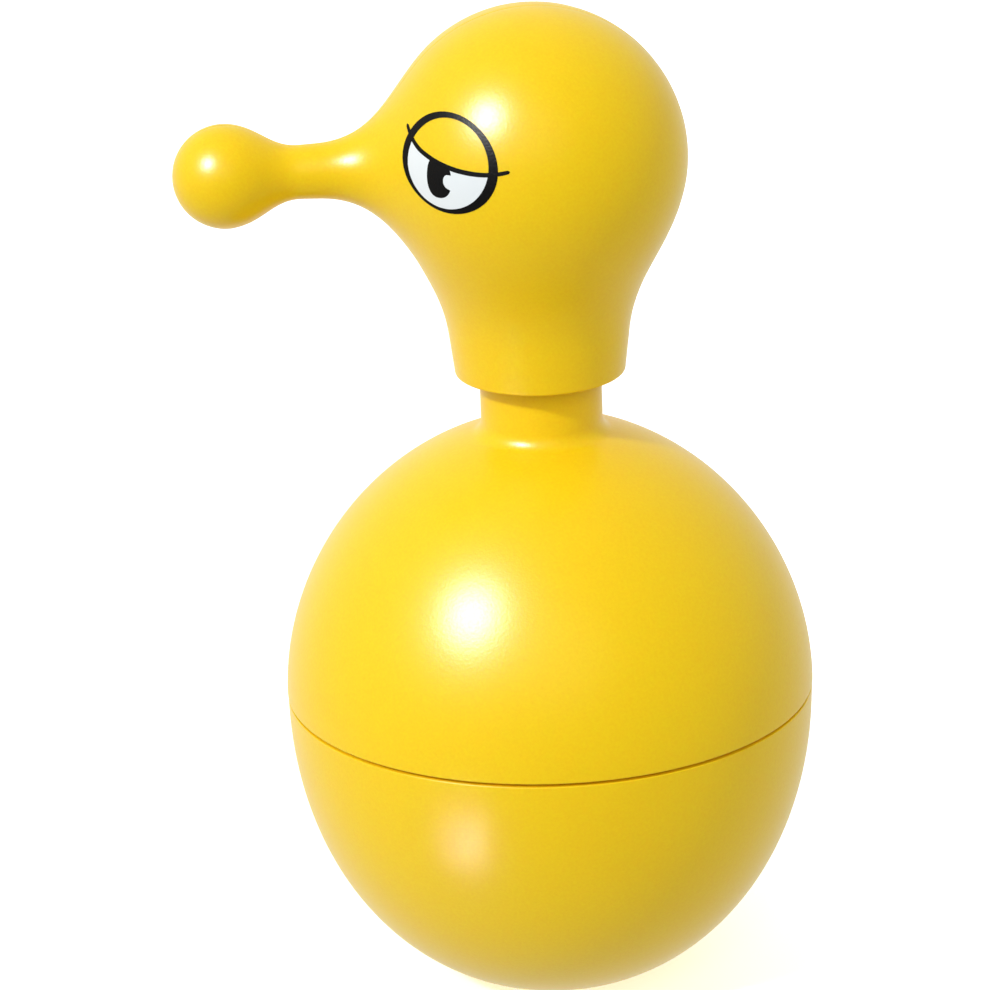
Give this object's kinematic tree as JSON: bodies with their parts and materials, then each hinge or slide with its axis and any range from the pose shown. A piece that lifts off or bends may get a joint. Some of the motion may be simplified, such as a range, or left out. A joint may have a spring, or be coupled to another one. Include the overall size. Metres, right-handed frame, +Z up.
{
  "type": "bird-shaped liquid pump dispenser",
  "caption": "Free-standing bird-shaped liquid dispenser: egg-shaped screw-apart reservoir, short neck with a press pump, and a turning head whose long nose is the spout.",
  "frame": {"origin": "centre of the foot pad's underside, where the dispenser stands on the table", "axes": "+Z up along the body's and pump's common axis; the nose points to -X; +Y is the bird's right-hand side"},
  "size_m": [0.1131, 0.0974, 0.1842],
  "materials": {
    "yellow_body": "satin moulded ABS",
    "yellow_head": "satin moulded ABS",
    "eye_print_white": "pad-printed ink",
    "eye_print_black": "pad-printed ink",
    "pad_rubber": "matt moulded rubber",
    "seal_rubber": "moulded nitrile rubber",
    "gasket_foam": "soft closed-cell gasket",
    "natural_polypropylene": "natural moulded polypropylene",
    "white_acetal": "white moulded acetal",
    "clear_polyethylene": "translucent polyethylene",
    "steel_ball": "polished stainless steel",
    "spring_steel": "drawn stainless wire"
  },
  "bodies": {
    "base": {"foot_pad": "pad_rubber", "lower_shell": "yellow_body"},
    "seal": {"body_seal": "seal_rubber"},
    "top": {"upper_shell": "yellow_body", "neck_gasket": "gasket_foam", "pump_housing": "natural_polypropylene", "stem_guide": "white_acetal", "neck_collar": "white_acetal", "dip_tube": "clear_polyethylene", "return_spring": "spring_steel"},
    "inlet_valve": {"inlet_ball": "steel_ball"},
    "plunger": {"piston": "clear_polyethylene"},
    "head": {"valve_spindle": "natural_polypropylene", "pump_stem": "natural_polypropylene", "stem_socket": "white_acetal", "head_left_shell": "yellow_head", "head_right_shell": "yellow_head", "spout_tube": "clear_polyethylene", "nozzle_tip": "natural_polypropylene"},
    "outlet_valve": {"outlet_ball": "steel_ball"}
  },
  "joints": [
    {"name": "body_unscrew", "type": "hinge", "parent": "base", "child": "seal", "pos_m": [0, 0, 0.0562], "axis": [0, 0, 1], "range_deg": [0, 50]},
    {"name": "body_lift", "type": "slide", "parent": "seal", "child": "top", "axis": [0, 0, 1], "range_m": [0, 0.00333]},
    {"name": "head_press", "type": "slide", "parent": "top", "child": "plunger", "axis": [0, 0, -1], "range_m": [0, 0.009], "stiffness_N_per_m": 900, "springref_m": -0.006, "deforming": ["return_spring"]},
    {"name": "head_turn", "type": "hinge", "parent": "plunger", "child": "head", "pos_m": [0, 0, 0.1168], "axis": [0, 0, 1], "continuous": true},
    {"name": "inlet_valve_lift", "type": "slide", "parent": "top", "child": "inlet_valve", "axis": [0, 0, 1], "range_m": [0, 0.0015]},
    {"name": "outlet_valve_lift", "type": "slide", "parent": "head", "child": "outlet_valve", "axis": [0, 0, 1], "range_m": [0, 0.0015]}
  ],
  "couplings": [
    {"joint": "body_lift", "follows": "body_unscrew", "m_per_rad": 0.0038197}
  ]
}
